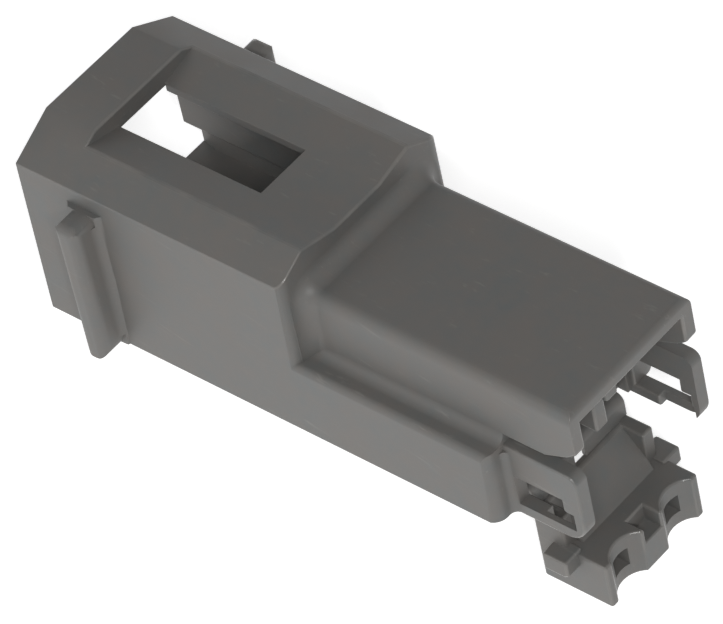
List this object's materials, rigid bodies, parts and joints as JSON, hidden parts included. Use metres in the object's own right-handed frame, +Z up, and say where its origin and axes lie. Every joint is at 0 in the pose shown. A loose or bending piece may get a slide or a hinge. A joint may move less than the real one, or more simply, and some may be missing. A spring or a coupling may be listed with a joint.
{
  "type": "two-way automotive blade connector housing with hinged rear cover",
  "caption": "Moulded nylon cable connector housing: open shroud with ridged top and window, side ribs and rails, latch arms and a hinged rear cover standing open.",
  "frame": {"origin": "middle of the shroud's lower front edge, which the part rests on", "axes": "+X from the mouth towards the wire end, +Y across the two ways, +Z up. The part lies on its lower front edge and on the open cover, so its own length leans up by 11.83 degrees towards the rear"},
  "size_m": [0.0446, 0.0194, 0.0191],
  "materials": {
    "housing_nylon": "satin black moulded nylon",
    "cover_nylon": "satin black moulded nylon",
    "web_nylon": "satin black moulded nylon, thin and slightly stressed"
  },
  "bodies": {
    "housing_body": {"housing": "housing_nylon", "hinge_webs": "web_nylon"},
    "cover_body": {"rear_cover": "cover_nylon"}
  },
  "joints": [
    {"name": "cover_hinge", "type": "hinge", "parent": "housing_body", "child": "cover_body", "pos_m": [0.03454, 0, 0.00671], "axis": [0, -1, 0], "range_deg": [-30, 90], "stiffness_Nm_per_rad": 0.004, "deforming": ["hinge_webs"]}
  ]
}
